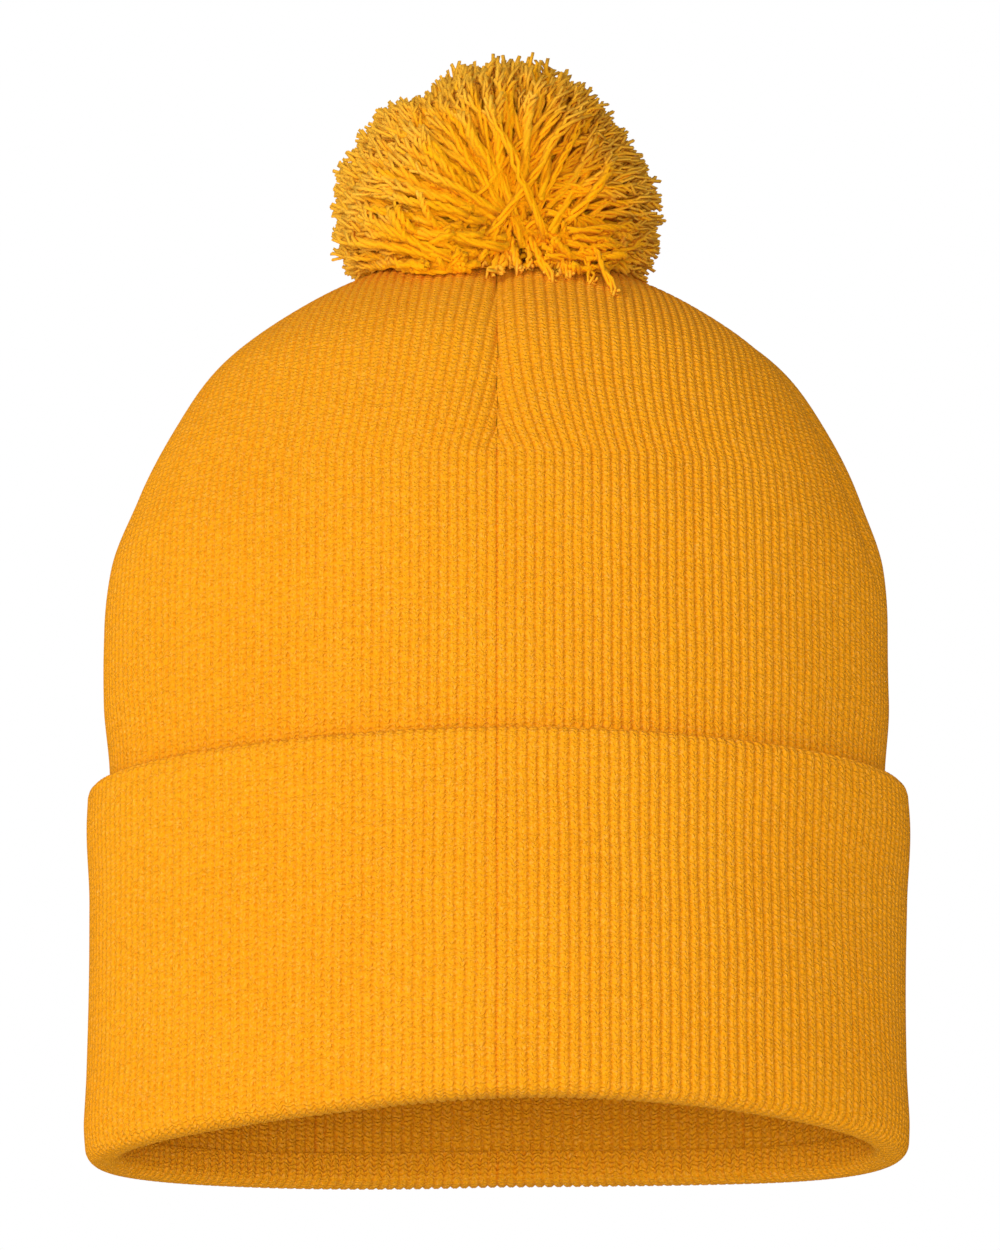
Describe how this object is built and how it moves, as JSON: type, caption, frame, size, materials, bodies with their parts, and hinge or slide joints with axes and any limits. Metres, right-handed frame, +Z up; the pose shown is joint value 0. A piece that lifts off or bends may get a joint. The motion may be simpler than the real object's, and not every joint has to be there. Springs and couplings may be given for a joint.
{
  "type": "knit beanie",
  "caption": "Rib-knit beanie with a turned-up cuff, darted crown and a large yarn pompom; double knit, standing on its rim.",
  "frame": {"origin": "centre of the oval that the rim stands on, at the bottom of the rolled rim", "axes": "+Z up to the crown and pompom; -Y is the front, with the front dart; +X is the wearer's left, on the right of a viewer in front"},
  "size_m": [0.181, 0.121, 0.2535],
  "materials": {
    "knit": "soft rib knit, yellow acrylic yarn",
    "lining_knit": "the same knit, worn inside",
    "seam_thread": "overlocked knit edge",
    "tie_yarn": "plied yarn",
    "pompom_yarn": "cut plied yarn pile",
    "label_satin": "woven satin, blank",
    "label_thread": "sewing thread"
  },
  "bodies": {
    "hat": {"outer_shell": "knit", "lining": "lining_knit", "dart_seam_front": "seam_thread", "dart_seam_right": "seam_thread", "dart_seam_back": "seam_thread", "dart_seam_left": "seam_thread", "lining_seam_front_right": "seam_thread", "lining_seam_back_right": "seam_thread", "lining_seam_back_left": "seam_thread", "lining_seam_front_left": "seam_thread", "crown_stitch": "tie_yarn", "tie_anchor": "tie_yarn", "tie_knot": "tie_yarn", "care_label": "label_satin", "label_stitching": "label_thread"},
    "cuff": {"cuff_face": "knit", "cuff_backing": "lining_knit"},
    "tie_bend": {"tie_bend": "tie_yarn"},
    "pompom": {"pompom_pile": "pompom_yarn", "pompom_binding": "tie_yarn", "pompom_tie": "tie_yarn"}
  },
  "joints": [
    {"name": "cuff_slide", "type": "slide", "parent": "hat", "child": "cuff", "axis": [0, 0, 1], "range_m": [-0.073, 0]},
    {"name": "pompom_sway", "type": "hinge", "parent": "hat", "child": "tie_bend", "pos_m": [0, 0, 0.2065], "axis": [0, 1, 0], "range_deg": [-8, 8], "stiffness_Nm_per_rad": 0.03},
    {"name": "pompom_nod", "type": "hinge", "parent": "tie_bend", "child": "pompom", "pos_m": [0, 0, 0.2065], "axis": [1, 0, 0], "range_deg": [-8, 8], "stiffness_Nm_per_rad": 0.03}
  ]
}
